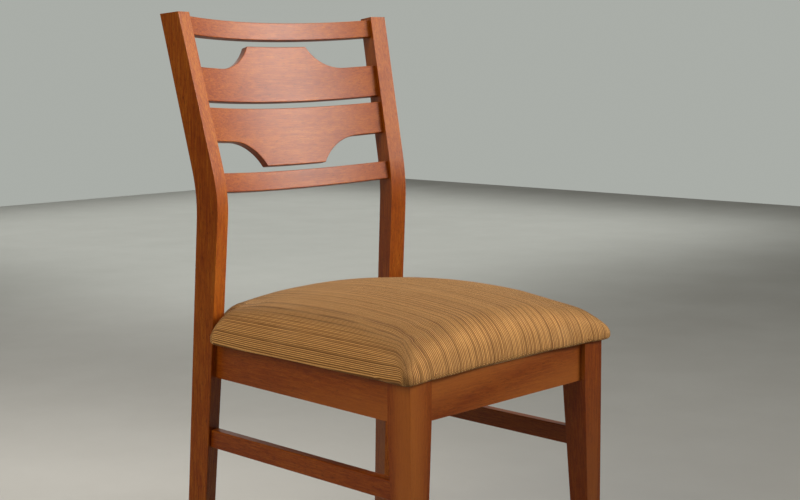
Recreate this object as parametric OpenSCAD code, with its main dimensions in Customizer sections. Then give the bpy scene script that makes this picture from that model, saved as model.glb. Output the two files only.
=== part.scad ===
// Dining side chair: wooden frame with turned, raked back posts, bowed back
// rails and shaped slats, and an upholstered seat screwed down from below.
// Heights are above the floor. Depths count back from the front legs' faces,
// until placed() brings the middle of the chair's box over the origin.
// The chair faces -Y. Only the left half (-X) is drawn; the right is mirrored.

/* [Overall] */
// Height of the back posts' tops
chair_h = 915; // [820:5:1100]
// Width across the front legs
front_w = 438; // [400:1:530]
// From the front legs' faces to the posts' outer front corners, at the bend
seat_run = 408; // [340:1:490]
// Width across the posts' outer front corners, at the bend
post_spread = 424; // [390:1:510]

/* [Back posts] */
// Turn of each post about the vertical, so its front face looks inwards
post_turn = 15; // [10:1:18]
// Thickness from the seat rails up
post_t = 29; // [27:1:36]
// Thickness at the foot
post_foot_t = 24; // [20:1:29]
// Depth at the bend
post_depth = 40; // [37:1:50]
// Depth at the top
post_top_depth = 36; // [32:1:45]
// Depth at the foot
post_foot_depth = 32; // [26:1:45]
// Height of the tops above the bend
back_run = 285; // [270:1:340]
// Half the height over which the post bends
bend_half = 40; // [20:1:60]
// Backward lean above the bend, in degrees
back_rake = 14; // [8:1:17]
// Backward lean of the leg below the bend, in degrees
leg_splay = 4; // [1:0.5:6]
// How much lower the top is at its rear edge
post_top_fall = 3; // [0:0.5:8]

/* [Back rails] */
// Thickness of the four bowed members
member_t = 14; // [12:0.5:18]
// Radius of their front faces
bow_radius = 650; // [450:10:1200]
// Setback of their ends from the posts' front faces
member_setback = 7; // [3:0.5:12]
// Crest rail: drop from the tops to its upper edge, down the rake
crest_drop = 5.5; // [2:0.5:9]
// Crest rail: height
crest_h = 30; // [22:1:36]
// Upper slat: drop to the top of its raised centre
upper_drop = 47.5; // [46:0.5:52]
// Upper slat: height at the centre
upper_h = 94.5; // [80:0.5:98]
// Upper slat: rise of the centre above the shoulders
upper_step = 40; // [25:1:50]
// Upper slat: run of each concave arc
upper_sweep = 72; // [52:1:85]
// Lower slat: drop to its straight upper edge
lower_drop = 153; // [151:0.5:158]
// Lower slat: height at the centre
lower_h = 96; // [80:0.5:98]
// Lower slat: fall of the centre below the shoulders
lower_step = 41.5; // [25:0.5:50]
// Lower slat: run of each concave arc
lower_sweep = 75; // [52:1:85]
// Both slats: width of the straight stretch at the centre
slat_flat = 131; // [100:1:160]
// Lower rail: drop to its upper edge
low_rail_drop = 258.5; // [257:0.5:264]
// Lower rail: height
low_rail_h = 30.5; // [22:0.5:34]

/* [Front legs] */
// Side of the square leg at the seat rails
leg_t = 43; // [40:1:55]
// Side of the square leg at the floor
leg_foot_t = 26; // [22:1:38]

/* [Seat rails] */
// Height of the rails' lower edges
rail_z = 342; // [300:1:380]
// Height of the rails themselves
rail_h = 58; // [50:1:80]
// Thickness of the rails
rail_t = 20; // [18:1:24]
// Front rail: setback from the legs' faces
front_rail_inset = 7; // [3:0.5:9]
// Side rails: setback from the front legs' outer faces
side_rail_inset = 5; // [2:0.5:8]
// Side rails: setback from the posts' outer front corners
side_rail_post_inset = 12.5; // [10:0.5:13.5]
// Rear rail: setback from the posts' front faces
rear_rail_inset = 16; // [15:0.5:18]

/* [Side stretchers] */
// Height of the stretchers' lower edges
stretcher_z = 230; // [120:1:260]
// Height of the stretchers themselves
stretcher_h = 29; // [24:0.5:40]
// Thickness of the stretchers
stretcher_t = 16; // [13:0.5:18]
// Setback from the front legs' outer faces
stretcher_inset = 8; // [5:0.5:10]
// Setback from the posts' outer front corners
stretcher_post_inset = 6.5; // [4:0.5:8]

/* [Seat] */
// Height of the seat above the rails at the middle of its crown
pad_h = 84; // [70:1:98]
// Overhang past the front legs' outer faces
pad_side = 16.5; // [8:0.5:22]
// Overhang past the front legs' front faces
pad_front = 10; // [2:0.5:15]
// Radius of the crown
crown_radius = 1100; // [900:50:2000]
// Radius of the front corners, seen from above
pad_corner = 15; // [10:1:45]
// Radius of the four corners at the back, seen from above
pad_rear_corner = 9; // [5:1:12]
// Clearance to the posts
pad_post_gap = 2; // [1:0.5:5]
// Setback of the seat's back edge from the rear rail's back face
pad_rear_inset = 2; // [0:0.5:8]
// Thickness of the fabric, with its lining
cover_t = 1.6; // [1:0.1:3]
// Width of the fabric's hem under the board
hem_w = 28; // [15:1:35]
// Thickness of the hem, and of the dust cover that it frames
hem_t = 1; // [0.6:0.1:2]
// Thickness of the plywood board
board_t = 12; // [9:1:18]
// Foam wrapped around the board's edge
edge_foam = 12; // [4:0.5:14]

/* [Joints and hardware] */
// Thickness of the tenons
tenon_t = 8; // [6:0.5:9]
// Length of the tenons
tenon_len = 14; // [10:0.5:16]
// Shoulder above and below each tenon
tenon_edge = 6; // [4:0.5:8]
// Glue gap around each tenon
glue_gap = 0.1; // [0.05:0.05:0.3]
// Reach of the corner blocks along the rails, from the middle of the rails
block_reach = 85; // [80:1:95]
// Height of the corner blocks
block_h = 30; // [24:1:40]
// Wood left behind each seat bolt, towards the middle of the seat
bolt_back = 10; // [8:0.5:12]
// Diameter of the seat bolts
bolt_d = 6; // [5:0.5:8]
// Clearance around each seat bolt, in the blocks and the dust cover
bolt_gap = 0.5; // [0.2:0.1:1]
// Diameter of the corner block screws
screw_d = 4; // [3:0.5:5]
// Distance of those screws along each rail, from the middle of the other
screw_at = 52; // [48:1:56]
// Depth of the corner block screws in the rails
screw_bite = 12; // [8:1:15]
// Diameter of the floor glides
glide_d = 18; // [12:1:20]
// Thickness of the floor glides
glide_h = 3; // [2:0.5:6]

/* [Hidden] */
$fn = 96;

wood = "#8c4a2b";
rail_top = rail_z + rail_h;
rail_mid = rail_z + rail_h / 2;
bend_z = chair_h - back_run;
far = 200;

// Offset of the post's front line from a vertical through the bend, in the
// post's own plane: two straight leans joined by a parabola.
function leaned(t, below, above) =
  t < -bend_half ? below * t
  : t > bend_half ? above * t
  : below * t + (above - below) * pow(t + bend_half, 2) / (4 * bend_half);
function front_r(z) = leaned(z - bend_z, -tan(leg_splay), tan(back_rake));
function rear_r(z) = post_depth + leaned(
  z - bend_z,
  -tan(leg_splay) + (post_depth - post_foot_depth) / bend_z,
  tan(back_rake) - (post_depth - post_top_depth) / back_run
);

// Plan position of a point on the left post: a across it, inwards from its
// outer face, and r rearwards in its own plane.
function post_point(a, r) = [
  -post_spread / 2 + a * cos(post_turn) - r * sin(post_turn),
  seat_run + a * sin(post_turn) + r * cos(post_turn)
];

// The front legs taper on their two inner faces, from the rails down.
function leg_side(z) = z > rail_z ? leg_t : leg_foot_t + (leg_t - leg_foot_t) * z / rail_z;

// The posts' raked fronts set the plane of the back. Drops are measured in it,
// down the rake from the posts' tops.
back_tilt = atan(tan(back_rake) * cos(post_turn));
back_top = post_point(post_t, front_r(chair_h) + member_setback);

// Half the distance between the posts' inner faces, at a drop down the rake.
function half_span(drop) =
  -post_point(post_t, front_r(chair_h - drop * cos(back_tilt)) + member_setback)[0];

// How far the middle of a bowed member lies behind its ends.
function bow_depth(span) = bow_radius - sqrt(pow(bow_radius, 2) - pow(span, 2));

// The chair's rearmost point is on the crest rail, or on the posts' tops or feet.
crest_back = member_t + bow_depth(half_span(crest_drop + crest_h / 2));
depth_back = max(
  back_top[1] + crest_back * cos(back_tilt) - crest_drop * sin(back_tilt),
  post_point(post_t, rear_r(chair_h - post_top_fall))[1],
  post_point(post_foot_t, rear_r(glide_h))[1]
);
mid_y = (depth_back - pad_front) / 2;

module placed() {
  translate([0, -mid_y, 0]) children();
}

module both_sides() {
  children();
  mirror([1, 0, 0]) children();
}

// ---- back posts ----

module in_post_frame() {
  translate([-post_spread / 2, seat_run, 0]) rotate([0, 0, post_turn]) children();
}

bend_steps = 12;
bend_heights = [for (i = [0:bend_steps]) bend_z + bend_half * (2 * i / bend_steps - 1)];

// Left post before its mortises are cut.
module post_blank() {
  heights = concat([glide_h], bend_heights);
  in_post_frame() intersection() {
    rotate([90, 0, 90]) linear_extrude(post_t + 1) polygon(concat(
      [for (z = heights) [front_r(z), z]],
      [[front_r(chair_h), chair_h]],
      [[rear_r(chair_h - post_top_fall), chair_h - post_top_fall]],
      [for (i = [len(heights) - 1:-1:0]) [rear_r(heights[i]), heights[i]]]
    ));
    translate([0, far, 0]) rotate([90, 0, 0]) linear_extrude(2 * far) polygon([
      [0, 0], [post_foot_t, 0], [post_t, rail_z], [post_t, chair_h + 1], [0, chair_h + 1]
    ]);
  }
}

// Everything behind the plane of the left post's front face, below the bend.
module behind_post_front() {
  low = glide_h;
  high = bend_z - bend_half;
  in_post_frame() translate([-far, 0, 0]) rotate([90, 0, 90]) linear_extrude(2 * far) polygon([
    [front_r(low), low], [front_r(high), high], [far, high], [far, low]
  ]);
}

module rear_post() {
  difference() {
    post_blank();
    crest_tenon(glue_gap);
    upper_slat_tenon(glue_gap);
    lower_slat_tenon(glue_gap);
    low_rail_tenon(glue_gap);
    rear_rail_tenon(glue_gap);
    side_rail_tenon(glue_gap);
    stretcher_tenon(glue_gap);
    glide_pin(post_glide_at());
  }
}

module rear_post_left() {
  color(wood) placed() rear_post();
}

module rear_post_right() {
  color(wood) placed() mirror([1, 0, 0]) rear_post();
}

// ---- bowed back members ----

// Frame of the back: x across, y rearwards square to its plane, and z up the
// rake, from the posts' tops.
module in_back_frame() {
  translate([0, back_top[1], chair_h]) rotate([-back_tilt, 0, 0]) children();
}

// How far the blanks of the bowed members run into the posts.
post_bite = post_t / 3;

// Curved sheet from depth t0 to depth t1 behind the bowed front face, whose
// ends meet the posts at the given half span.
module bowed_sheet(span, t0, t1) {
  translate([0, bow_depth(span) - bow_radius, -2 * far]) difference() {
    cylinder(r = bow_radius + t1, h = 3 * far);
    translate([0, 0, -1]) cylinder(r = bow_radius + t0, h = 3 * far + 2);
  }
}

// A member is its outline, drawn across and up, cut from the bowed sheet and
// then fitted between the posts.
module back_member(drop, h) {
  span = half_span(drop + h / 2);
  difference() {
    in_back_frame() intersection() {
      bowed_sheet(span, 0, member_t);
      translate([0, far, -drop - h]) rotate([90, 0, 0]) linear_extrude(2 * far) children();
    }
    both_sides() post_blank();
  }
}

module back_tenon(drop, h, span, slack) {
  half = (tenon_t / 2) + slack;
  reach = half_span(drop) + tenon_len + slack;
  in_back_frame() intersection() {
    bowed_sheet(span, member_t / 2 - half, member_t / 2 + half);
    translate([-reach, -far, -drop - h + tenon_edge - slack])
      cube([2 * reach, 2 * far, h - 2 * (tenon_edge - slack)]);
  }
}

// Sheet wide enough to run a little way into both posts.
module plain_outline(drop, h) {
  half = half_span(drop) + post_bite;
  translate([-half, 0]) square([2 * half, h]);
}

// Shoulders at the ends, and a centre that rises in two concave arcs, each
// tangent to its shoulder.
module slat_outline(drop, h, step, sweep) {
  half = half_span(drop) + post_bite;
  radius = (pow(sweep, 2) + pow(step, 2)) / (2 * step);
  edge = slat_flat / 2 + sweep;
  translate([-half, 0]) square([2 * half, h - step]);
  difference() {
    translate([-edge, 0]) square([2 * edge, h]);
    for (side = [-1, 1]) translate([side * edge, h - step + radius]) circle(r = radius, $fn = 360);
  }
}

module crest_tenon(slack = 0) {
  back_tenon(crest_drop, crest_h, half_span(crest_drop + crest_h / 2), slack);
}

module upper_slat_tenon(slack = 0) {
  span = half_span(upper_drop + upper_h / 2);
  back_tenon(upper_drop + upper_step, upper_h - upper_step, span, slack);
}

module lower_slat_tenon(slack = 0) {
  span = half_span(lower_drop + lower_h / 2);
  back_tenon(lower_drop, lower_h - lower_step, span, slack);
}

module low_rail_tenon(slack = 0) {
  back_tenon(low_rail_drop, low_rail_h, half_span(low_rail_drop + low_rail_h / 2), slack);
}

module crest_rail() {
  color(wood) placed() {
    back_member(crest_drop, crest_h) plain_outline(crest_drop, crest_h);
    crest_tenon();
  }
}

module upper_back_slat() {
  color(wood) placed() {
    back_member(upper_drop, upper_h)
      slat_outline(upper_drop, upper_h, upper_step, upper_sweep);
    upper_slat_tenon();
  }
}

module lower_back_slat() {
  color(wood) placed() {
    back_member(lower_drop, lower_h) translate([0, lower_h]) mirror([0, 1])
      slat_outline(lower_drop, lower_h, lower_step, lower_sweep);
    lower_slat_tenon();
  }
}

module lower_back_rail() {
  color(wood) placed() {
    back_member(low_rail_drop, low_rail_h) plain_outline(low_rail_drop, low_rail_h);
    low_rail_tenon();
  }
}

// ---- front legs ----

// Left leg before its mortises are cut: two tapered views, one through the other.
module leg_blank() {
  view = [
    [0, glide_h], [leg_side(glide_h), glide_h], [leg_t, rail_z], [leg_t, rail_top], [0, rail_top]
  ];
  translate([-front_w / 2, 0, 0]) intersection() {
    translate([0, leg_t + 1, 0]) rotate([90, 0, 0]) linear_extrude(leg_t + 2) polygon(view);
    translate([-1, 0, 0]) rotate([90, 0, 90]) linear_extrude(leg_t + 2) polygon(view);
  }
}

module front_leg() {
  difference() {
    leg_blank();
    front_rail_tenon(glue_gap);
    side_rail_tenon(glue_gap);
    stretcher_tenon(glue_gap);
    glide_pin(leg_glide_at());
  }
}

module front_leg_left() {
  color(wood) placed() front_leg();
}

module front_leg_right() {
  color(wood) placed() mirror([1, 0, 0]) front_leg();
}

// ---- front and rear seat rails ----

module front_rail_body() {
  half = front_w / 2 - leg_t;
  translate([-half, front_rail_inset, rail_z]) cube([2 * half, rail_t, rail_h]);
}

module front_rail_tenon(slack = 0) {
  half = front_w / 2 - leg_t + tenon_len + slack;
  translate([
    -half, front_rail_inset + (rail_t - tenon_t) / 2 - slack, rail_z + tenon_edge - slack
  ]) cube([2 * half, tenon_t + 2 * slack, rail_h - 2 * (tenon_edge - slack)]);
}

module front_seat_rail() {
  color(wood) placed() difference() {
    union() {
      front_rail_body();
      front_rail_tenon();
    }
    both_sides() in_front_corner() end_screw_shank();
  }
}

rear_rail_at = post_point(post_t, front_r(rail_mid) + rear_rail_inset);

// The rear rail's blank runs into the posts before it is fitted to them.
module rear_rail_body() {
  half = -rear_rail_at[0] + post_bite;
  difference() {
    translate([-half, rear_rail_at[1], rail_z]) cube([2 * half, rail_t, rail_h]);
    both_sides() post_blank();
  }
}

module rear_rail_tenon(slack = 0) {
  half = -rear_rail_at[0] + tenon_len + slack;
  translate([-half, rear_rail_at[1] + (rail_t - tenon_t) / 2 - slack, rail_z + tenon_edge - slack])
    cube([2 * half, tenon_t + 2 * slack, rail_h - 2 * (tenon_edge - slack)]);
}

module rear_seat_rail() {
  color(wood) placed() difference() {
    union() {
      rear_rail_body();
      rear_rail_tenon();
    }
    both_sides() in_rear_corner() end_screw_shank();
  }
}

// ---- side seat rails and stretchers ----

// Both run from the front leg's rear face to the post's front face, with the
// outer face between two given setbacks.
function bar_start(inset, z) = [-front_w / 2 + inset, leg_side(z)];
function bar_end(inset, z) = post_point(inset, front_r(z));
function bar_turn(a, b) = atan2(b[0] - a[0], b[1] - a[1]);

module along_bar(a, b, z) {
  translate([a[0], a[1], z]) rotate([0, 0, -bar_turn(a, b)]) children();
}

module side_bar(a, b, z, h, t) {
  spare = leg_foot_t / 2;
  difference() {
    along_bar(a, b, z) translate([0, -spare, 0]) cube([t, norm(b - a) + 2 * spare, h]);
    leg_blank();
    behind_post_front();
  }
}

module side_tenon(a, b, z, h, inset, slack) {
  along_bar(a, b, z + tenon_edge - slack) translate([inset - slack, -tenon_len - slack, 0])
    cube([
      tenon_t + 2 * slack,
      norm(b - a) + 2 * (tenon_len + slack),
      h - 2 * (tenon_edge - slack)
    ]);
}

rail_a = bar_start(side_rail_inset, rail_mid);
rail_b = bar_end(side_rail_post_inset, rail_mid);
stretcher_mid = stretcher_z + stretcher_h / 2;
stretcher_a = bar_start(stretcher_inset, stretcher_mid);
stretcher_b = bar_end(stretcher_post_inset, stretcher_mid);
// The side rails' tenons sit near the outer face, to stay inside the posts.
side_tenon_inset = 1.5;

module side_rail_body() {
  side_bar(rail_a, rail_b, rail_z, rail_h, rail_t);
}

module side_rail_tenon(slack = 0) {
  side_tenon(rail_a, rail_b, rail_z, rail_h, side_tenon_inset, slack);
}

module stretcher_tenon(slack = 0) {
  side_tenon(
    stretcher_a, stretcher_b, stretcher_z, stretcher_h, (stretcher_t - tenon_t) / 2, slack
  );
}

// Left side rail with its tenons, before it is drilled for the block screws.
module side_rail() {
  difference() {
    union() {
      side_rail_body();
      side_rail_tenon();
    }
    in_front_corner() side_screw_shank();
    in_rear_corner() side_screw_shank();
  }
}

module stretcher() {
  side_bar(stretcher_a, stretcher_b, stretcher_z, stretcher_h, stretcher_t);
  stretcher_tenon();
}

module side_seat_rail_left() {
  color(wood) placed() side_rail();
}

module side_seat_rail_right() {
  color(wood) placed() mirror([1, 0, 0]) side_rail();
}

module side_stretcher_left() {
  color(wood) placed() stretcher();
}

module side_stretcher_right() {
  color(wood) placed() mirror([1, 0, 0]) stretcher();
}

// ---- corner blocks and their screws ----

// Each corner's frame starts where the middles of its two rails cross, with x
// along the end rail and y along the side rail, both away from the corner.
front_corner = [-front_w / 2 + side_rail_inset + rail_t / 2, front_rail_inset + rail_t / 2];
rear_corner = [rail_b[0] + rail_t / 2, rear_rail_at[1] + rail_t / 2];

module in_front_corner() {
  translate([front_corner[0], front_corner[1], rail_top - block_h]) children();
}

module in_rear_corner() {
  translate([rear_corner[0], rear_corner[1], rail_top - block_h]) mirror([0, 1, 0]) children();
}

// Distance of the screw heads' undersides from the middle of the rail.
head_at = rail_t / 2 + 3 * screw_d;
head_d = 2 * screw_d;
head_h = 0.7 * screw_d;
socket_d = 0.55 * head_d;
notch = head_d + 1;

// Screw from the head's underside, pointing away from the head.
module screw_shank() {
  cylinder(d = screw_d, h = head_at - rail_t / 2 + screw_bite);
}

module screw_head() {
  translate([0, 0, -head_h]) difference() {
    cylinder(d = head_d, h = head_h);
    translate([0, 0, -1]) cylinder(d = socket_d, h = 1 + head_h / 2, $fn = 6);
  }
}

// The hole for the shank, and a square notch from the long face to the head.
module screw_hole() {
  screw_shank();
  translate([-notch / 2, -notch / 2, -block_reach]) cube([notch, notch, block_reach]);
}

module at_side_screw() {
  translate([head_at, screw_at, block_h / 2]) rotate([0, -90, 0]) children();
}

module at_end_screw() {
  translate([screw_at, head_at, block_h / 2]) rotate([90, 0, 0]) children();
}

module side_screw_shank() {
  at_side_screw() screw_shank();
}

module end_screw_shank() {
  at_end_screw() screw_shank();
}

bolt_along = block_reach / 2 - bolt_back / sqrt(2);

module at_bolt() {
  translate([bolt_along, bolt_along, 0]) children();
}

// Across position of the left side rail's inner face, at a depth.
function rail_inner_x(y) =
  rail_a[0] + rail_t / cos(bar_turn(rail_a, rail_b))
  + (y - rail_a[1]) * tan(bar_turn(rail_a, rail_b));

// Plans of the left blocks: along the end rail, across the corner, along the
// side rail, and round the leg or past the post.
block_edge = block_reach - rail_t / 2;
leg_inner_x = -front_w / 2 + leg_t;
front_rail_inner_y = front_rail_inset + rail_t;
front_block_y = front_corner[1] + block_edge;
front_block_plan = [
  [leg_inner_x, front_rail_inner_y],
  [front_corner[0] + block_edge, front_rail_inner_y],
  [rail_inner_x(front_block_y), front_block_y],
  [rail_inner_x(leg_t), leg_t],
  [leg_inner_x, leg_t]
];

// Where the plane of the post's front face meets the side rail's inner face.
function rail_end_y(z) =
  let(corner = post_point(post_t, front_r(z)))
    corner[1] + (rail_inner_x(corner[1]) - corner[0]) * tan(post_turn);

// A rear block turns in behind the end of a rail that reaches past the post's
// inner corner, and otherwise just ahead of the post.
post_clearance = 1;
post_corner_x = post_point(post_t, front_r(rail_top))[0];
block_turn_y = rail_inner_x(rear_corner[1]) > post_corner_x
  ? rail_end_y(rail_top - block_h) + post_clearance
  : rail_end_y(rail_top) - post_clearance;
rear_block_y = rear_corner[1] - block_edge;
rear_block_plan = [
  rear_rail_at,
  [rear_corner[0] + block_edge, rear_rail_at[1]],
  [rail_inner_x(rear_block_y), rear_block_y],
  [rail_inner_x(block_turn_y), block_turn_y],
  [post_corner_x + post_clearance, block_turn_y]
];

module corner_bores() {
  at_bolt() translate([0, 0, -1]) cylinder(d = bolt_d + 2 * bolt_gap, h = block_h + 2);
  at_side_screw() screw_hole();
  at_end_screw() screw_hole();
}

module block(plan) {
  translate([0, 0, rail_top - block_h]) linear_extrude(block_h) polygon(plan);
}

module corner_blocks() {
  color("tan") placed() both_sides() {
    difference() {
      block(front_block_plan);
      in_front_corner() corner_bores();
    }
    difference() {
      block(rear_block_plan);
      in_rear_corner() corner_bores();
    }
  }
}

module screw() {
  screw_shank();
  screw_head();
}

module corner_screws() {
  at_side_screw() screw();
  at_end_screw() screw();
}

module block_screws() {
  color("silver") placed() both_sides() {
    in_front_corner() corner_screws();
    in_rear_corner() corner_screws();
  }
}

// ---- seat bolts ----

washer_t = 1.2;
washer_d = 3 * bolt_d;
bolt_head_d = 1.9 * bolt_d;
bolt_head_h = 0.65 * bolt_d;
barrel_wall = 1;
barrel_len = 8;
flange_t = 1.2;
board_z = rail_top + hem_t;
board_top = board_z + board_t;

// The four bolts stand at the same place in the four corner blocks.
module at_bolts() {
  both_sides() {
    in_front_corner() at_bolt() children();
    in_rear_corner() at_bolt() children();
  }
}

module seat_bolts() {
  shank = block_h + washer_t + hem_t + board_t - flange_t;
  color("silver") placed() at_bolts() translate([0, 0, -washer_t]) {
    cylinder(d = bolt_d, h = shank);
    translate([0, 0, -bolt_head_h]) cylinder(d = bolt_head_d, h = bolt_head_h, $fn = 6);
  }
}

module seat_washers() {
  color("silver") placed() at_bolts() translate([0, 0, -washer_t]) difference() {
    cylinder(d = washer_d, h = washer_t);
    translate([0, 0, -1]) cylinder(d = bolt_d, h = washer_t + 2);
  }
}

// Solid outline of a tee nut, measured from the top of its corner block.
module tee_nut_space(barrel) {
  top = hem_t + board_t;
  translate([0, 0, top - flange_t]) cylinder(d = washer_d, h = flange_t);
  translate([0, 0, top - flange_t - barrel]) cylinder(d = bolt_d + 2 * barrel_wall, h = barrel);
}

module tee_nuts() {
  color("silver") placed() at_bolts() translate([0, 0, block_h]) difference() {
    tee_nut_space(barrel_len);
    cylinder(d = bolt_d, h = 2 * board_t);
  }
}

// ---- seat ----

function arc(centre, r, from, to) = [
  for (i = [0:8]) let(a = from + (to - from) * i / 8) centre + r * [cos(a), sin(a)]
];

// The posts' front corners where the seat is highest, and so closest to them.
seat_post_outer = post_point(0, front_r(rail_top + pad_h));
seat_post_inner = post_point(post_t, front_r(rail_top + pad_h));
seat_back = rear_rail_at[1] + rail_t - pad_rear_inset;

// Left half of the seat's outline from above, drawn in by a distance: round
// the front corner, back to the post, in along it, and back between the posts.
function half_outline(inset) =
  let(
    side = -(front_w / 2 + pad_side - inset),
    front = -pad_front + inset,
    front_round = max(pad_corner - inset, 2),
    rear_round = max(pad_rear_corner - inset, 1),
    notch_x = seat_post_inner[0] + pad_post_gap + inset,
    notch_y = seat_post_outer[1] - pad_post_gap - inset,
    back = seat_back - inset
  ) concat(
    [[0, front]],
    arc([side + front_round, front + front_round], front_round, 270, 180),
    arc([side + rear_round, notch_y - rear_round], rear_round, 180, 90),
    [[notch_x, notch_y]],
    arc([notch_x + rear_round, back - rear_round], rear_round, 180, 90),
    [[0, back]]
  );

module seat_outline(inset) {
  left = half_outline(inset);
  last = len(left) - 2;
  polygon(concat(left, [for (i = [last:-1:1]) [-left[i][0], left[i][1]]]));
}

// Solid of the seat's outline with a crowned top, drawn in by a distance.
module crowned(inset, z) {
  middle = (seat_back - pad_front) / 2;
  intersection() {
    translate([0, 0, z]) linear_extrude(pad_h) seat_outline(inset);
    translate([0, middle, rail_top + pad_h - crown_radius])
      sphere(r = crown_radius - inset, $fn = 360);
  }
}

// The bolts' clearance holes in the hem and the dust cover.
module bolt_bores() {
  at_bolts() cylinder(d = bolt_d + 2 * bolt_gap, h = block_h + hem_t + bolt_gap);
}

module board_blank() {
  translate([0, 0, board_z]) linear_extrude(board_t) seat_outline(cover_t + edge_foam);
}

module seat_board() {
  color("burlywood") placed() difference() {
    board_blank();
    at_bolts() translate([0, 0, block_h]) tee_nut_space(board_t);
  }
}

module seat_foam() {
  color("ivory") placed() difference() {
    crowned(cover_t, board_z);
    board_blank();
  }
}

module seat_cover() {
  color("peru") placed() difference() {
    crowned(0, rail_top);
    crowned(cover_t, board_z);
    translate([0, 0, rail_top - 1]) linear_extrude(hem_t + 2) seat_outline(hem_w);
    bolt_bores();
  }
}

module dust_cover() {
  color("dimgray") placed() difference() {
    translate([0, 0, rail_top]) linear_extrude(hem_t) seat_outline(hem_w);
    bolt_bores();
  }
}

// ---- floor glides ----

pin_d = 3;
pin_h = 12;
glide_edge = 1;

function leg_glide_at() = [-front_w / 2 + leg_foot_t / 2, leg_foot_t / 2];
function post_glide_at() = post_point(post_foot_t / 2, front_r(glide_h) + post_foot_depth / 2);

module glide_pin(at) {
  translate([at[0], at[1], glide_h]) cylinder(d = pin_d, h = pin_h);
}

module glide(at) {
  translate([at[0], at[1], 0]) {
    cylinder(d1 = glide_d - 2 * glide_edge, d2 = glide_d, h = glide_h / 2);
    translate([0, 0, glide_h / 2]) cylinder(d = glide_d, h = glide_h / 2);
  }
  glide_pin(at);
}

module foot_glides() {
  color("black") placed() both_sides() {
    glide(leg_glide_at());
    glide(post_glide_at());
  }
}

rear_post_left();
rear_post_right();
front_leg_left();
front_leg_right();
front_seat_rail();
rear_seat_rail();
side_seat_rail_left();
side_seat_rail_right();
side_stretcher_left();
side_stretcher_right();
crest_rail();
upper_back_slat();
lower_back_slat();
lower_back_rail();
seat_board();
seat_foam();
seat_cover();
dust_cover();
corner_blocks();
block_screws();
seat_bolts();
seat_washers();
tee_nuts();
foot_glides();
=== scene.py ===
"""Looks of the dining chair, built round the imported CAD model."""
import math

import bmesh
import bpy
import numpy as np
from mathutils import Matrix, Vector


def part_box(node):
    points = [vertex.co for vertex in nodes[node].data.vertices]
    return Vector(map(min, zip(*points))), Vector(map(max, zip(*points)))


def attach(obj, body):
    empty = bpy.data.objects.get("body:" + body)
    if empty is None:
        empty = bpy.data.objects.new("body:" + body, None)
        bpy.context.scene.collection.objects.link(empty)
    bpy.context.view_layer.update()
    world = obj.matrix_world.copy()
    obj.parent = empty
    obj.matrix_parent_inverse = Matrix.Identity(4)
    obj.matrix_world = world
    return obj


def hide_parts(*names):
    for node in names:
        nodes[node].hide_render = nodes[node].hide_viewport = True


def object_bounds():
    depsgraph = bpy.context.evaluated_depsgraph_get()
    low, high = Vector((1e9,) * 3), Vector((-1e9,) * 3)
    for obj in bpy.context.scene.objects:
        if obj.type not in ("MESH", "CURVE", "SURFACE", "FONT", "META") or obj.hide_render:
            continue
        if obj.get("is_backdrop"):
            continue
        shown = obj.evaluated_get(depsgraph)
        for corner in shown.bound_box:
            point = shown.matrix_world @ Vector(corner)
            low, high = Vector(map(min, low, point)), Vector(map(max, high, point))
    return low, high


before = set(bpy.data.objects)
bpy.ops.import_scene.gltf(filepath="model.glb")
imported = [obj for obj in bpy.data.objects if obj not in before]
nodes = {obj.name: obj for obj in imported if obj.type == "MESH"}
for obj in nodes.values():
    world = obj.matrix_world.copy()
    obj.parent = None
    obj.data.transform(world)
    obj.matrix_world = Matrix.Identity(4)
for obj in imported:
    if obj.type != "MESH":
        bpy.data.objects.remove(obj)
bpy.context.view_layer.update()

MM = 0.001
JOIN = 0.02 * MM          # points closer than this are one point
SHARP = math.radians(28)  # edges that turn by more than this are rounded


# ---------------------------------------------------------------- node trees

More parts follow.
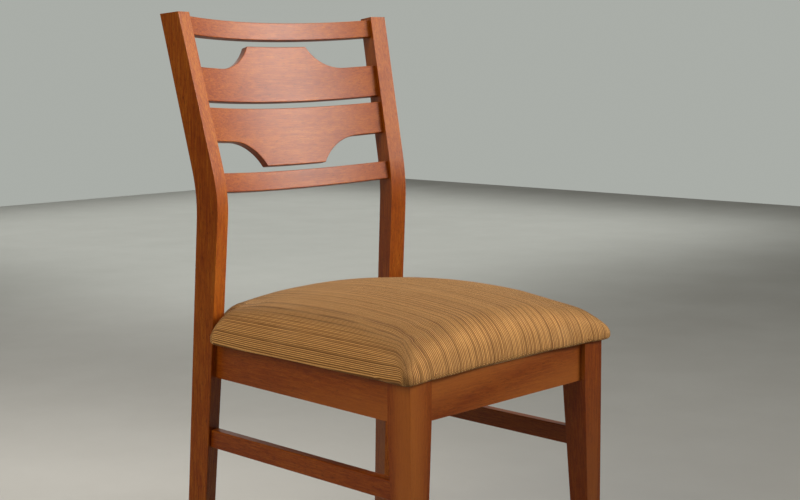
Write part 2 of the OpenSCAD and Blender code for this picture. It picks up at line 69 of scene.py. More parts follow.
class Tree:
    """A material's node tree, with short calls that return output sockets."""

    def __init__(self, name):
        self.mat = bpy.data.materials.new(name)
        self.mat.use_nodes = True
        self.nt = self.mat.node_tree
        self.nt.nodes.clear()
        self.out = self.nt.nodes.new("ShaderNodeOutputMaterial")
        self.bsdf = self.nt.nodes.new("ShaderNodeBsdfPrincipled")
        self.nt.links.new(self.bsdf.outputs["BSDF"], self.out.inputs["Surface"])

    def put(self, socket, value):
        if isinstance(value, bpy.types.NodeSocket):
            self.nt.links.new(value, socket)
        else:
            socket.default_value = value

    def shader(self, **values):
        """Sets the shader's sockets: Base_Color=..., Roughness=..."""
        for key, value in values.items():
            self.put(self.bsdf.inputs[key.replace("_", " ")], value)

    def place(self):
        return self.nt.nodes.new("ShaderNodeTexCoord").outputs["Object"]

    def attribute(self, name):
        n = self.nt.nodes.new("ShaderNodeAttribute")
        n.attribute_name = name
        return n.outputs["Fac"]

    def pointiness(self):
        return self.nt.nodes.new("ShaderNodeNewGeometry").outputs["Pointiness"]

    def mapped(self, vector, scale=(1, 1, 1), offset=(0, 0, 0), turn=(0, 0, 0)):
        n = self.nt.nodes.new("ShaderNodeMapping")
        n.inputs["Scale"].default_value = scale
        n.inputs["Location"].default_value = offset
        n.inputs["Rotation"].default_value = turn
        self.put(n.inputs["Vector"], vector)
        return n.outputs["Vector"]

    def combine(self, x=0.0, y=0.0, z=0.0):
        n = self.nt.nodes.new("ShaderNodeCombineXYZ")
        for socket, value in zip(n.inputs, (x, y, z)):
            self.put(socket, value)
        return n.outputs["Vector"]

    def noise(self, vector, scale=1.0, detail=3.0, rough=0.5, bend=0.0):
        n = self.nt.nodes.new("ShaderNodeTexNoise")
        self.put(n.inputs["Vector"], vector)
        n.inputs["Scale"].default_value = scale
        n.inputs["Detail"].default_value = detail
        n.inputs["Roughness"].default_value = rough
        n.inputs["Distortion"].default_value = bend
        return n.outputs["Fac"]

    def lines(self, value, scale, randomness=1.0):
        """Distance to the edges of uneven cells along one line."""
        n = self.nt.nodes.new("ShaderNodeTexVoronoi")
        n.voronoi_dimensions = "1D"
        n.feature = "DISTANCE_TO_EDGE"
        self.put(n.inputs["W"], value)
        n.inputs["Scale"].default_value = scale
        n.inputs["Randomness"].default_value = randomness
        return n.outputs["Distance"]

    def math(self, operation, a, b=0.0, c=0.0, clamp=False):
        n = self.nt.nodes.new("ShaderNodeMath")
        n.operation = operation
        n.use_clamp = clamp
        for socket, value in zip(n.inputs, (a, b, c)):
            self.put(socket, value)
        return n.outputs["Value"]

    def span(self, value, low, high, to_low=0.0, to_high=1.0):
        n = self.nt.nodes.new("ShaderNodeMapRange")
        n.interpolation_type = "SMOOTHSTEP"
        for key, v in (("Value", value), ("From Min", low), ("From Max", high),
                       ("To Min", to_low), ("To Max", to_high)):
            self.put(n.inputs[key], v)
        return n.outputs["Result"]

    def ramp(self, value, stops):
        n = self.nt.nodes.new("ShaderNodeValToRGB")
        points = n.color_ramp.elements
        while len(points) < len(stops):
            points.new(0.5)
        for point, (at, colour) in zip(points, stops):
            point.position = at
            point.color = (*colour, 1)
        self.put(n.inputs["Fac"], value)
        return n.outputs["Color"]

    def mix(self, factor, a, b, blend="MIX"):
        n = self.nt.nodes.new("ShaderNodeMix")
        n.data_type = "RGBA"
        n.blend_type = blend
        self.put(n.inputs[0], factor)
        for socket, value in ((n.inputs[6], a), (n.inputs[7], b)):
            self.put(socket, (*value, 1) if isinstance(value, tuple) else value)
        return n.outputs[2]

    def bump(self, height, strength, distance, normal=None):
        n = self.nt.nodes.new("ShaderNodeBump")
        n.inputs["Strength"].default_value = strength
        n.inputs["Distance"].default_value = distance
        self.put(n.inputs["Height"], height)
        if normal is not None:
            self.put(n.inputs["Normal"], normal)
        return n.outputs["Normal"]


def along(axis, across, length):
    """Scale for a texture that is stretched along one axis of the piece."""
    return tuple(length if name == axis else across for name in "XYZ")


# ---------------------------------------------------------------- materials

def frame_wood(name, axis, seed, stain_and_light=(1.0, 1.0, 1.0)):
    """Stained and lacquered hardwood with its grain along one axis. The seed
    moves the grain, so that no two pieces match. The last argument scales the
    piece's colour: partly how this piece took the stain, partly painted light
    and shade, lighter or darker for how the light falls on that piece."""
    t = Tree(name)
    at = t.mapped(t.place(), offset=(seed * 0.37, seed * 0.53, seed * 0.71))
    figure = t.noise(t.mapped(at, along(axis, 30, 3.0)), 1, 4, 0.6, 0.5)
    streaks = t.noise(t.mapped(at, along(axis, 420, 26)), 1, 4, 0.7, 0.2)
    pores = t.noise(t.mapped(at, along(axis, 1100, 130)), 1, 2, 0.6)
    clouds = t.noise(at, 9, 3, 0.6)
    grain = t.math("MULTIPLY_ADD", figure, 0.36, t.math("MULTIPLY", streaks, 0.64))
    colour = t.ramp(grain, [
        (0.34, (0.140, 0.020, 0.0008)),
        (0.46, (0.200, 0.034, 0.0012)),
        (0.56, (0.262, 0.060, 0.0030)),
        (0.68, (0.335, 0.098, 0.0090)),
    ])
    colour = t.mix(t.span(clouds, 0.35, 0.75, 0, 0.35), colour, (0.285, 0.064, 0.004))
    colour = t.mix(t.span(pores, 0.54, 0.68, 0, 0.6), colour, (0.060, 0.011, 0.002))
    # Painted light and shade per piece, together with its stain: the whole piece's colour is
    # scaled.
    colour = t.mix(1.0, colour, stain_and_light, "MULTIPLY")
    worn = t.span(t.pointiness(), 0.53, 0.62, 0, 0.5)
    colour = t.mix(worn, colour, (0.46, 0.150, 0.025))
    rough = t.math("MULTIPLY_ADD", t.noise(at, 35, 3, 0.6), 0.12, 0.37)
    rough = t.math("MULTIPLY_ADD", worn, 0.10, rough)
    height = t.math("SUBTRACT", streaks, t.math("MULTIPLY", pores, 0.8))
    t.shader(Base_Color=colour, Roughness=rough, Normal=t.bump(height, 0.16, 0.4 * MM))
    t.shader(Coat_Weight=0.13, Coat_Roughness=0.32, IOR=1.5, Specular_IOR_Level=0.16)
    return t.mat


def raw_wood(name, axis, light, dark, seed):
    """Unfinished wood in two colours, with its grain along one axis."""
    t = Tree(name)
    at = t.mapped(t.place(), offset=(seed, seed * 0.3, 0))
    grain = t.noise(t.mapped(at, along(axis, 140, 8)), 1, 4, 0.6, 0.3)
    rings = t.noise(t.mapped(at, along(axis, 30, 2)), 1, 2, 0.5, 0.8)
    colour = t.mix(t.span(grain, 0.35, 0.7), light, dark)
    colour = t.mix(t.span(rings, 0.4, 0.7, 0, 0.5), colour, dark)
    worn = t.span(t.pointiness(), 0.53, 0.62, 0, 0.4)
    colour = t.mix(worn, colour, light)
    t.shader(Base_Color=colour, Roughness=t.span(grain, 0.2, 0.8, 0.62, 0.8),
             Normal=t.bump(grain, 0.25, 0.5 * MM))
    return t.mat


def steel(name):
    """Zinc plate with dull spots and bright rubbed edges."""
    t = Tree(name)
    at = t.place()
    spots = t.noise(at, 260, 3, 0.6)
    colour = t.mix(t.span(spots, 0.4, 0.7), (0.60, 0.60, 0.62), (0.42, 0.43, 0.46))
    colour = t.mix(t.span(t.pointiness(), 0.53, 0.62, 0, 0.5), colour, (0.75, 0.75, 0.76))
    t.shader(Base_Color=colour, Metallic=1.0, Roughness=t.span(spots, 0.3, 0.8, 0.28, 0.5),
             Normal=t.bump(t.noise(at, 900, 2, 0.5), 0.15, 0.1 * MM))
    return t.mat


def nylon(name):
    """Black moulded plastic with dust in its fine grain."""
    t = Tree(name)
    at = t.place()
    dust = t.noise(at, 120, 3, 0.6)
    colour = t.mix(t.span(dust, 0.45, 0.75), (0.030, 0.024, 0.022), (0.075, 0.062, 0.055))
    t.shader(Base_Color=colour, Roughness=t.span(dust, 0.3, 0.8, 0.45, 0.7),
             Normal=t.bump(t.noise(at, 1400, 2, 0.5), 0.2, 0.1 * MM))
    return t.mat


def lining(name):
    """Thin black non-woven cloth: short random fibres."""
    t = Tree(name)
    at = t.place()
    fibres = t.noise(t.mapped(at, (900, 260, 260)), 1, 3, 0.6, 1.5)
    cross = t.noise(t.mapped(at, (260, 900, 260)), 1, 3, 0.6, 1.5)
    web = t.math("MAXIMUM", fibres, cross)
    colour = t.mix(t.span(web, 0.5, 0.75), (0.012, 0.012, 0.013), (0.050, 0.048, 0.047))
    t.shader(Base_Color=colour, Roughness=t.span(web, 0.3, 0.8, 0.8, 0.95),
             Normal=t.bump(web, 0.5, 0.2 * MM))
    return t.mat


CORD = 3.3 * MM           # spacing of the cords that run from front to back
PICK = 2.0 * MM           # spacing of the threads across them
WANDER = 1.2 * MM         # how far a cord strays sideways
LINES_PER_M = 95          # fine dark lines between the cords
BANDS_PER_M = 38          # wide dark lines


def striped_cloth(name):
    """Woven stripe. Its lines follow the cloth: the mesh carries how far each
    point lies across the stripes and along them, over the rolled edges."""
    t = Tree(name)
    across = t.attribute("cloth_across")
    length = t.attribute("cloth_along")
    at = t.combine(across, length, 0.0)
    wander = t.noise(t.mapped(at, (30, 7, 1)), 1, 2, 0.5)
    x = t.math("MULTIPLY_ADD", wander, WANDER, across)
    # Cords that run from front to back, with a dark furrow between each two.
    cord = t.math("SINE", t.math("MULTIPLY", x, 2 * math.pi / CORD))
    ridge = t.span(cord, -0.9, 0.7)
    # Picks across the cords, stepped by half from cord to cord.
    step = t.math("MULTIPLY", t.math("FLOOR", t.math("DIVIDE", x, CORD)), math.pi)
    pick = t.math("SINE", t.math("MULTIPLY_ADD", length, 2 * math.pi / PICK, step))
    dots = t.span(pick, -0.6, 0.9)
    # Cords come out stronger or weaker, and uneven dark lines stand between them.
    band = t.noise(t.mapped(at, (190, 1.6, 1)), 1, 3, 0.6)
    slub = t.noise(t.mapped(at, (420, 30, 1)), 1, 2, 0.5)
    fine_line = t.span(t.lines(x, LINES_PER_M), 0.03, 0.11, 0.7, 0)
    wide_line = t.span(t.lines(t.math("ADD", x, 0.31), BANDS_PER_M), 0.025, 0.07, 0.8, 0)
    line = t.math("MAXIMUM", fine_line, wide_line)
    broken = t.span(t.noise(t.mapped(at, (60, 14, 1)), 1, 2, 0.6), 0.3, 0.55, 0.45, 1)
    line = t.math("MULTIPLY", line, broken)
    colour = t.ramp(band, [
        (0.34, (0.262, 0.116, 0.028)),
        (0.50, (0.350, 0.164, 0.042)),
        (0.66, (0.435, 0.216, 0.060)),
    ])
    furrow = t.math("SUBTRACT", 1.0, ridge)
    colour = t.mix(t.math("MULTIPLY", furrow, 0.82), colour, (0.085, 0.028, 0.006))
    crest = t.math("MULTIPLY", ridge, dots)
    colour = t.mix(t.math("MULTIPLY", crest, 0.55), colour, (0.800, 0.510, 0.215))
    colour = t.mix(t.span(slub, 0.55, 0.8, 0, 0.4), colour, (0.220, 0.098, 0.032))
    colour = t.mix(t.math("MULTIPLY", line, 0.85), colour, (0.085, 0.032, 0.009))
    # Light rubbing on the crown, where the cloth is sat on.
    worn = t.span(t.noise(t.mapped(at, (9, 9, 1)), 1, 3, 0.6), 0.5, 0.8, 0, 0.14)
    colour = t.mix(worn, colour, (0.520, 0.330, 0.150))
    # Painted light: the edges that hang down are painted much lighter, and the level top a
    # little darker, by how far the surface turns from level.
    shade = t.span(t.attribute("cloth_drop"), 0.02, 0.42, 0.94, 1.55)
    colour = t.mix(1.0, colour, t.combine(shade, shade, shade), "MULTIPLY")
    height = t.math("MULTIPLY_ADD", dots, 0.35, ridge)
    height = t.math("MULTIPLY_ADD", line, -0.6, height)
    rough = t.math("MULTIPLY_ADD", slub, 0.15, 0.70)
    t.shader(Base_Color=colour, Roughness=rough, Normal=t.bump(height, 0.8, 0.9 * MM))
    t.shader(Sheen_Weight=0.06, Sheen_Roughness=0.4, Sheen_Tint=(0.95, 0.80, 0.60, 1.0))
    t.shader(Specular_IOR_Level=0.14)
    return t.mat


def paint(obj, mat):
    obj.data.materials.clear()
    obj.data.materials.append(mat)


# ---------------------------------------------------------------- wooden pieces

def modifier(obj, name, kind, **values):
    m = obj.modifiers.new(name, kind)
    for key, value in values.items():
        setattr(m, key, value)
    return m


def soften(obj, width, segments=3, weights=False):
    """Joins the CAD mesh's split corners, merges its flat triangles and rounds
    its edges, either all alike or by the edges' own bevel weights."""
    modifier(obj, "join", "WELD", merge_threshold=JOIN)
    if not weights:
        modifier(obj, "flats", "DECIMATE", decimate_type="DISSOLVE",
                 angle_limit=math.radians(0.8))
    modifier(obj, "edges", "BEVEL", width=width, segments=segments, profile=0.5,
             limit_method="WEIGHT" if weights else "ANGLE", angle_limit=SHARP,
             miter_outer="MITER_ARC", use_clamp_overlap=True, harden_normals=False)
    modifier(obj, "normals", "WEIGHTED_NORMAL", weight=60, keep_sharp=False)
    for face in obj.data.polygons:
        face.use_smooth = True


POST_TURN = math.radians(15)
FRONT_EDGE_R = 6.5 * MM
OTHER_EDGE_R = 1.8 * MM


def rounded_post(side):
    """One back post: the CAD post's shape, with its outer front edge well rounded."""
    node = f"rear_post_{side}"
    turn = POST_TURN if side == "left" else -POST_TURN
    outward = Vector((-math.cos(turn), -math.sin(turn), 0))
    if side == "right":
        outward = -outward
    forward = Vector((math.sin(turn), -math.cos(turn), 0))
    mesh = nodes[node].data.copy()
    bm = bmesh.new()
    bm.from_mesh(mesh)
    bmesh.ops.remove_doubles(bm, verts=bm.verts, dist=JOIN)
    bmesh.ops.dissolve_limit(bm, angle_limit=math.radians(0.5),
                             verts=bm.verts, edges=bm.edges)
    bm.normal_update()
    weight = bm.edges.layers.float.new("bevel_weight_edge")
    for edge in bm.edges:
        if len(edge.link_faces) != 2:
            continue
        a, b = (face.normal for face in edge.link_faces)
        if a.angle(b) < SHARP:
            continue
        outer_front = any(side_face.dot(outward) > 0.98 and front_face.dot(forward) > 0.9
                          for side_face, front_face in ((a, b), (b, a)))
        edge[weight] = 1.0 if outer_front else OTHER_EDGE_R / FRONT_EDGE_R
    bm.to_mesh(mesh)
    bm.free()
    post = bpy.data.objects.new(f"post_{side}", mesh)
    bpy.context.scene.collection.objects.link(post)
    soften(post, FRONT_EDGE_R, 5, weights=True)
    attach(post, "root")
    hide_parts(node)
    return post


EVEN = (1.0, 1.0, 1.0)
# Colour factors per piece: partly stain, partly painted light and shade. The posts are painted
# lighter; the legs, side seat rails and seat rails are painted darker for the shade below the
# seat.
POST_STAIN_AND_LIGHT = (1.10, 1.24, 1.15)
LEG_STAIN_AND_SHADE = (0.95, 0.90, 0.80)
RAIL_STAIN_AND_SHADE = (0.86, 0.80, 0.70)
SLAT_TONE = (0.96, 0.98, 0.80)

for seed, side in enumerate(("left", "right")):
    paint(rounded_post(side), frame_wood(f"post_wood_{side}", "Z", 1.3 + seed, POST_STAIN_AND_LIGHT))

# Node, grain axis, edge radius (mm) and colour factor (stain, with painted
# shade on the legs and rails) of the wooden pieces that keep their CAD shape.
WOODEN = [
    ("front_leg_left", "Z", 2.2, LEG_STAIN_AND_SHADE), ("front_leg_right", "Z", 2.2, LEG_STAIN_AND_SHADE),
    ("front_seat_rail", "X", 1.4, RAIL_STAIN_AND_SHADE), ("rear_seat_rail", "X", 1.4, RAIL_STAIN_AND_SHADE),
    ("side_seat_rail_left", "Y", 1.6, LEG_STAIN_AND_SHADE), ("side_seat_rail_right", "Y", 1.6, LEG_STAIN_AND_SHADE),
    ("side_stretcher_left", "Y", 2.0, EVEN), ("side_stretcher_right", "Y", 2.0, EVEN),
    ("crest_rail", "X", 1.3, SLAT_TONE), ("upper_back_slat", "X", 1.3, SLAT_TONE),
    ("lower_back_slat", "X", 1.3, SLAT_TONE), ("lower_back_rail", "X", 1.3, SLAT_TONE),
]
for seed, (node, axis, radius, stain_and_light) in enumerate(WOODEN):
    soften(nodes[node], radius * MM)
    paint(nodes[node], frame_wood(f"wood_{node}", axis, 3.1 + 1.7 * seed, stain_and_light))

soften(nodes["corner_blocks"], 1.0 * MM, 2)
paint(nodes["corner_blocks"],
      raw_wood("block_wood", "Z", (0.62, 0.42, 0.22), (0.40, 0.24, 0.11), 2))
paint(nodes["seat_board"],
      raw_wood("plywood", "X", (0.60, 0.43, 0.24), (0.42, 0.27, 0.13), 5))
paint(nodes["dust_cover"], lining("lining_cloth"))
STEEL = steel("zinc_steel")
for node in ("block_screws", "seat_bolts", "seat_washers", "tee_nuts"):
    soften(nodes[node], 0.3 * MM, 2)
    paint(nodes[node], STEEL)
soften(nodes["foot_glides"], 0.8 * MM, 3)
paint(nodes["foot_glides"], nylon("nylon"))


# ---------------------------------------------------------------- seat pad

COVER_LOW, COVER_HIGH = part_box("seat_cover")
HALF_W = COVER_HIGH.x
FRONT, BACK = COVER_LOW.y, COVER_HIGH.y
BASE, CROWN = COVER_LOW.z, COVER_HIGH.z
EDGE_ROLL = 42 * MM       # how far in from the edges the top starts to round over
NOTCH_ROLL = 22 * MM      # the same, at the notches for the posts
RIM_ROLL = 7 * MM         # small roll along the whole outline
WIDEST = 11 * MM          # height of the widest line above the rails
TUCK = 4 * MM             # how far in the cloth turns under the edge
EAR = 3 * MM              # how far the corners stand out past the CAD outline
PULL_FRONT = 11 * MM      # how far the front pulls in between its corners
PULL_SIDE = 7 * MM        # the same for the sides
CROWN_RADIUS = 1.35       # metres
CROWN_SPARE = 2 * MM      # room left above the crown for the puff
PUFF = 2.5 * MM           # most that the cloth simulation may move a point
CORNER_R = 15 * MM        # front corners, seen from above
REAR_R = 12 * MM          # corners beside and between the posts
NOTCH_R = 6 * MM          # inner corners of the notches
RING_STEP = 4 * MM        # spacing of the points along the outline
VOXEL = 5 * MM
HELD = 4 * MM             # height up to which the simulation holds the cloth
SMOOTHING = 60            # rounds of averaging of the simulated movement
LAST_FRAME = 20
HOLLOW = 1.4 * MM         # how far the middle of the underside stands off the rails
HOLLOW_EDGE = 26 * MM     # width of the rim that still rests on the rails
CROWN_LIMIT = 2 * MM      # most that the finished top may pass the CAD crown


def arc(cx, cy, r, start, end, steps=10):
    return [(cx + r * math.cos(a), cy + r * math.sin(a))
            for a in np.radians(np.linspace(start, end, steps))]


def post_notch():
    """Inner corner of the notch that clears the left post, read from the CAD cover."""
    deep = FRONT + 0.8 * (BACK - FRONT)
    foot = {(round(v.co.y, 4), round(v.co.x, 4)) for v in nodes["seat_cover"].data.vertices
            if v.co.x < 0 and v.co.y > deep and v.co.z < BASE + 0.2 * MM}
    notch_y = max(y for y, x in foot if x < -HALF_W + 12 * MM)
    notch_x = min(x for y, x in foot if y > notch_y + 2 * MM)
    return notch_x, notch_y


def outline_left():
    """Left half of the pad from above: front corner, side, round the post, back edge."""
    notch_x, notch_y = post_notch()
    points = [(0, FRONT)]
    points += arc(-HALF_W + CORNER_R, FRONT + CORNER_R, CORNER_R, 270, 180)
    points += arc(-HALF_W + REAR_R, notch_y - REAR_R, REAR_R, 180, 90)
    points += arc(notch_x - NOTCH_R, notch_y + NOTCH_R, NOTCH_R, 270, 360, 6)
    points += arc(notch_x + REAR_R, BACK - REAR_R, REAR_R, 180, 90)
    points += [(0, BACK)]
    return points


def resample(points, spacing):
    """Evenly spaced points along a closed outline."""
    p = np.array(points)
    closed = np.vstack([p, p[:1]])
    step = np.hypot(*np.diff(closed, axis=0).T)
    total = np.concatenate([[0], np.cumsum(step)])
    count = int(total[-1] / spacing)
    at = np.linspace(0, total[-1], count, endpoint=False)
    return np.stack([np.interp(at, total, closed[:, k]) for k in (0, 1)], 1)


def edge_distance(p, ring):
    """Distance from each point to a closed ring."""
    a, b = ring, np.roll(ring, -1, 0)
    ab = b - a
    t = np.clip(((p[:, None] - a) * ab).sum(2) / (ab ** 2).sum(1), 0, 1)
    return np.sqrt(((a + t[..., None] * ab - p[:, None]) ** 2).sum(2)).min(1)


def swell(distance, reach):
    """Quarter round: 0 at the edge, rising to 1 at the reach."""
    t = np.clip(distance / reach, 0, 1)
    return np.sqrt(1 - (1 - t) ** 2)


def build_pad():
    """The cushion as stacked rings: flat underside, rolled lower edge, crowned top."""
    notch = np.array(post_notch()) * [-1, 1]
    left = outline_left()
    full = left + [(-x, y) for x, y in reversed(left[1:-1])]
    ring = resample(full, RING_STEP)
    mid = np.array([0, (FRONT + BACK) / 2])
    half = np.array([HALF_W, (BACK - FRONT) / 2])

    def pinch(p):
        """How far the side and the front or back lie inside their straight lines."""
        rel = np.abs((p - mid) / half)
        return np.array([PULL_SIDE, PULL_FRONT]) * np.clip(1 - rel[:, ::-1] ** 2.2, 0, 1) - EAR

    rel = (ring - mid) / half
    ring = ring - np.sign(rel) * pinch(ring) * (np.abs(rel) > 0.9)

    def height(p):
        inside = half - pinch(p) - np.abs(p - mid)
        to_notch = np.stack([notch[0] - np.abs(p[:, 0]), notch[1] - p[:, 1]], 1)
        past = np.hypot(*np.clip(to_notch, 0, None).T)
        dome = CROWN - CROWN_SPARE - ((p - mid) ** 2).sum(1) / (2 * CROWN_RADIUS)
        rise = swell(inside, EDGE_ROLL).prod(1)
        rise *= swell(past, NOTCH_ROLL) * swell(edge_distance(p, ring), RIM_ROLL)
        return BASE + WIDEST + (dome - BASE - WIDEST) * rise

    rings = []
    tuck = (half - TUCK) / half
    for share in (0.0, 0.35, 0.7, 0.93):
        rings.append((mid + (ring - mid) * tuck * share, BASE))
    for a in np.linspace(0, math.pi / 2, 6)[1:]:
        inward = 1 - (1 - tuck) * (1 - math.sin(a))
        rings.append((mid + (ring - mid) * inward, BASE + WIDEST * (1 - math.cos(a))))
    top = [0.998, 0.993, 0.985, 0.975, 0.963, 0.95, 0.93, 0.905, 0.875]
    top += list(np.linspace(0.84, 0.0, 22))
    for share in top:
        p = mid + (ring - mid) * share
        rings.append((p, height(p)))

    bm = bmesh.new()
    loops = []
    for p, z in rings:
        z = np.full(len(p), z) if np.isscalar(z) else z
        if np.ptp(p[:, 0]) < 1e-9:
            loops.append([bm.verts.new((p[0, 0], p[0, 1], float(z[0])))] * len(p))
        else:
            loops.append([bm.verts.new((x, y, h)) for (x, y), h in zip(p, z)])
    n = len(ring)
    for low, high in zip(loops, loops[1:]):
        for i in range(n):
            j = (i + 1) % n
            corners = []
            for v in (low[j], low[i], high[i], high[j]):
                if v not in corners:
                    corners.append(v)
            bm.faces.new(corners)
    bmesh.ops.recalc_face_normals(bm, faces=bm.faces)
    mesh = bpy.data.meshes.new("seat_pad")
    bm.to_mesh(mesh)
    bm.free()
    pad = bpy.data.objects.new("seat_pad", mesh)
    bpy.context.scene.collection.objects.link(pad)
    return pad


def apply_modifiers(obj):
    """Replaces the mesh by what its modifiers make of it."""
    graph = bpy.context.evaluated_depsgraph_get()
    mesh = bpy.data.meshes.new_from_object(obj.evaluated_get(graph), depsgraph=graph)
    obj.modifiers.clear()
    obj.data = mesh


def smoothed(mesh, values, rounds):
    """Averages a value per point with those of its neighbours, over and over."""
    edges = np.array([e.vertices for e in mesh.edges])
    count = np.bincount(edges.ravel(), minlength=len(values))[:, None]
    for _ in range(rounds):
        total = np.zeros_like(values)
        np.add.at(total, edges[:, 0], values[edges[:, 1]])
        np.add.at(total, edges[:, 1], values[edges[:, 0]])
        values = 0.5 * values + 0.5 * total / count
    return values


def inflate(pad):
    """Cloth simulation under pressure, with the underside held; movement is capped."""
    modifier(pad, "even", "REMESH", mode="VOXEL", voxel_size=VOXEL,
             use_smooth_shade=True)
    apply_modifiers(pad)
    rest = np.array([v.co for v in pad.data.vertices])
    held = pad.vertex_groups.new(name="held")
    held.add([int(i) for i in np.nonzero(rest[:, 2] < BASE + HELD)[0]], 1.0, "REPLACE")
    cloth = modifier(pad, "cloth", "CLOTH")
    cloth.settings.vertex_group_mass = "held"
    cloth.settings.quality = 5
    cloth.settings.mass = 0.3
    cloth.settings.tension_stiffness = 25
    cloth.settings.compression_stiffness = 25
    cloth.settings.bending_stiffness = 6
    cloth.settings.use_pressure = True
    cloth.settings.uniform_pressure_force = 4
    cloth.settings.effector_weights.gravity = 0
    cloth.point_cache.frame_start = 1
    cloth.point_cache.frame_end = LAST_FRAME
    scene = bpy.context.scene
    for number in range(1, LAST_FRAME + 1):
        scene.frame_set(number)
    graph = bpy.context.evaluated_depsgraph_get()
    moved = np.array([v.co for v in pad.evaluated_get(graph).data.vertices])
    pad.modifiers.clear()
    scene.frame_set(1)
    shift = smoothed(pad.data, moved - rest, SMOOTHING)
    size = np.linalg.norm(shift, axis=1, keepdims=True)
    shift *= np.minimum(1, PUFF / np.maximum(size, 1e-9))
    pad.data.vertices.foreach_set("co", (rest + shift).astype(np.float32).ravel())
    pad.data.update()
    modifier(pad, "fine", "SUBSURF", levels=1, render_levels=1)
    apply_modifiers(pad)


def cloth_lengths(pad):
    """How far each point lies across the stripes and along them, measured over
    the rolled edges: the drop counts with the side that the surface faces.
    Also how far the surface has turned down from level."""
    mesh = pad.data
    co = np.array([v.co for v in mesh.vertices])
    normal = np.array([v.normal for v in mesh.vertices])
    flat = normal[:, :2] ** 2
    share = flat / np.maximum(flat.sum(1, keepdims=True), 1e-6)
    mid_y = (FRONT + BACK) / 2
    drop = np.clip(CROWN - co[:, 2], 0, None)
    side = np.abs(co[:, 0]) + drop * share[:, 0]
    ahead = np.abs(co[:, 1] - mid_y) + drop * share[:, 1]
    turned = 1 - np.abs(smoothed(mesh, normal[:, 2:], 6)[:, 0])
    for name, value in (("cloth_drop", turned),
                        ("cloth_across", np.sign(co[:, 0]) * side),
                        ("cloth_along", np.sign(co[:, 1] - mid_y) * ahead)):
        data = mesh.attributes.new(name, "FLOAT", "POINT")
        data.data.foreach_set("value", value.astype(np.float32))


def settle(pad):
    """Lifts the middle of the underside off the rails, and keeps the rest within
    the CAD seat's height."""
    co = np.array([v.co for v in pad.data.vertices])
    inner = ((np.abs(co[:, 0]) < HALF_W - HOLLOW_EDGE)
             & (co[:, 1] > FRONT + HOLLOW_EDGE) & (co[:, 1] < BACK - HOLLOW_EDGE))
    co[inner & (co[:, 2] < BASE + HOLLOW), 2] = BASE + HOLLOW
    co[:, 2] = np.clip(co[:, 2], BASE + 0.05 * MM, CROWN + CROWN_LIMIT)
    pad.data.vertices.foreach_set("co", co.astype(np.float32).ravel())


pad = build_pad()
inflate(pad)
settle(pad)
cloth_lengths(pad)
for face in pad.data.polygons:
    face.use_smooth = True
paint(pad, striped_cloth("striped_cloth"))
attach(pad, "root")
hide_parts("seat_cover", "seat_foam")


# ---------------------------------------------------------------- studio

FLOOR_HALF = 6            # metres from the middle to each side of the floor
WALL_SIDE = (0.69, 0.72, 0.0)
PALE_WALL = (0.40, 0.42, 0.39)
DIM_ROOM = (0.085, 0.070, 0.055)
MID = (0, 0, 0.55)


def floor():
    low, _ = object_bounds()
    bm = bmesh.new()
    bmesh.ops.create_grid(bm, x_segments=2, y_segments=2, size=FLOOR_HALF)
    mesh = bpy.data.meshes.new("floor")
    bm.to_mesh(mesh)
    bm.free()
    obj = bpy.data.objects.new("floor", mesh)
    obj.location.z = low.z
    bpy.context.scene.collection.objects.link(obj)
    t = Tree("floor_paint")
    at = t.place()
    marks = t.noise(at, 3, 4, 0.6)
    t.shader(Base_Color=t.mix(marks, (0.56, 0.56, 0.54), (0.51, 0.51, 0.49)),
             Roughness=t.span(marks, 0.3, 0.7, 0.55, 0.7))
    paint(obj, t.mat)
    obj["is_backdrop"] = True


def area_light(name, at, target, size, power, colour, spread=180):
    data = bpy.data.lights.new(name, "AREA")
    data.shape = "RECTANGLE"
    data.size, data.size_y = size
    data.energy = power
    data.color = colour
    data.spread = math.radians(spread)
    obj = bpy.data.objects.new(name, data)
    obj.location = at
    obj.rotation_euler = (Vector(target) - Vector(at)).to_track_quat("-Z", "Y").to_euler()
    bpy.context.scene.collection.objects.link(obj)


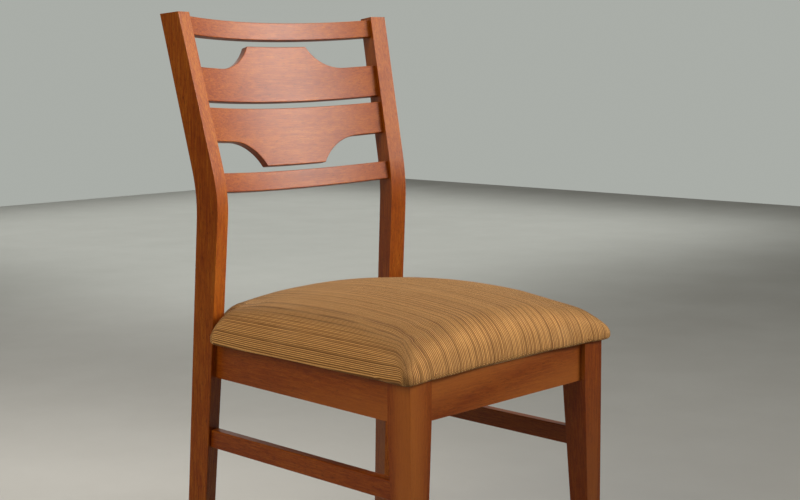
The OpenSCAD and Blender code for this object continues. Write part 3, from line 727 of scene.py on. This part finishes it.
def surroundings():
    """A pale wall's light from behind and to the right, and a dim room elsewhere."""
    world = bpy.data.worlds.new("studio")
    world.use_nodes = True
    nt = world.node_tree
    place = nt.nodes.new("ShaderNodeTexCoord")
    facing = nt.nodes.new("ShaderNodeVectorMath")
    facing.operation = "DOT_PRODUCT"
    facing.inputs[1].default_value = WALL_SIDE
    nt.links.new(place.outputs["Generated"], facing.inputs[0])
    fade = nt.nodes.new("ShaderNodeValToRGB")
    fade.color_ramp.interpolation = "EASE"
    stops = ((0.0, DIM_ROOM), (0.7, PALE_WALL))
    for point, (where, colour) in zip(fade.color_ramp.elements, stops):
        point.position = where
        point.color = (*colour, 1)
    nt.links.new(facing.outputs["Value"], fade.inputs["Fac"])
    background = nt.nodes["Background"]
    nt.links.new(fade.outputs["Color"], background.inputs["Color"])
    background.inputs["Strength"].default_value = 1.0
    bpy.context.scene.world = world


def camera():
    """Between the seat's height and the top of the back, ahead and to the left,
    looking slightly down."""
    data = bpy.data.cameras.new("camera")
    data.sensor_width = 36
    data.lens = 62.1
    data.shift_x = 0.082
    data.shift_y = -0.062
    obj = bpy.data.objects.new("camera", data)
    yaw, pitch, roll = (math.radians(a) for a in (43.96, 5.44, -0.49))
    obj.location = (-1.552, -1.239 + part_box("front_leg_left")[0].y, 0.824)
    turned = Matrix.Rotation(-yaw, 3, "Z") @ Matrix.Rotation(math.pi / 2 - pitch, 3, "X")
    obj.rotation_euler = (turned @ Matrix.Rotation(roll, 3, "Z")).to_euler()
    bpy.context.scene.collection.objects.link(obj)
    bpy.context.scene.camera = obj


floor()
area_light("key", (1.15, -1.10, 1.52), (0, 0.15, 0.86), (1.2, 1.0), 8.8, (1.0, 0.94, 0.87), 50)
area_light("top", (0.1, 0.0, 2.4), (0, 0, 0.5), (1.4, 1.4), 20, (1.0, 0.97, 0.93))
area_light("fill", (-2.4, -0.2, 1.9), MID, (1.6, 1.6), 30, (1.0, 0.88, 0.72))
area_light("back", (0.8, 2.6, 1.8), MID, (2.0, 1.6), 8, (1.0, 0.98, 0.95))
area_light("far_floor", (3.2, 3.8, 3.0), (3.2, 3.8, 0), (4.0, 4.0), 30, (0.97, 1.0, 0.95), 40)
surroundings()
camera()
bpy.context.scene.view_settings.view_transform = "Standard"
